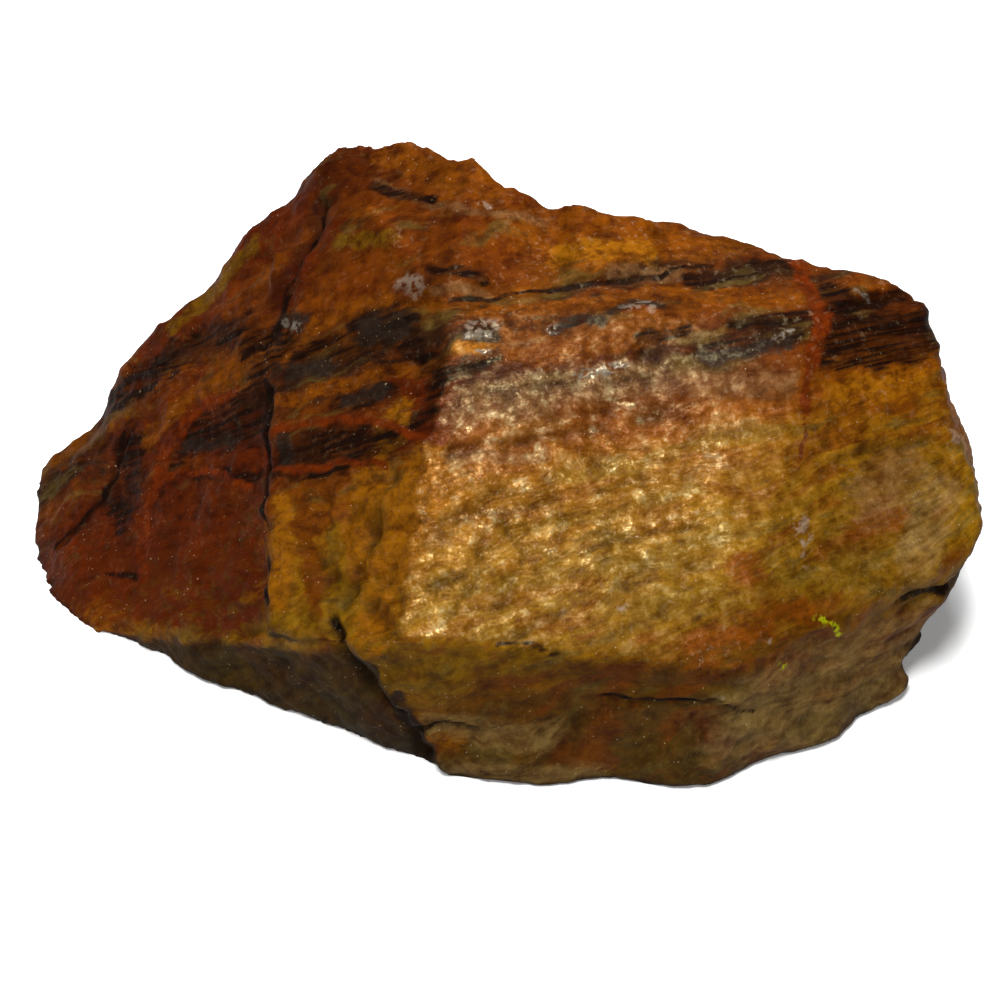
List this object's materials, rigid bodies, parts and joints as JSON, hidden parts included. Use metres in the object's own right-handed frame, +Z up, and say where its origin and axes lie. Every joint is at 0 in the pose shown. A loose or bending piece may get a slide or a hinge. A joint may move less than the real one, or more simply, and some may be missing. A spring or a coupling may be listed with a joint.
{
  "type": "rough tiger's eye stone",
  "caption": "Natural lump of rough tiger's eye: an angular broken block of golden brown banded quartz with ledges, cracks and a raised back corner, lying on its flattest side",
  "frame": {"origin": "on the ground under the middle of the stone's bounding box", "axes": "+X along the longest side, to the right as the large front face is looked at; +Y to the back; +Z up"},
  "size_m": [0.1248, 0.075, 0.0568],
  "materials": {
    "banded_quartz": "freshly broken banded quartz: glassy, finely crinkled, golden brown with dark blue-brown and rust-red bands"
  },
  "bodies": {
    "root": {"tigers_eye_stone": "banded_quartz"}
  },
  "joints": []
}
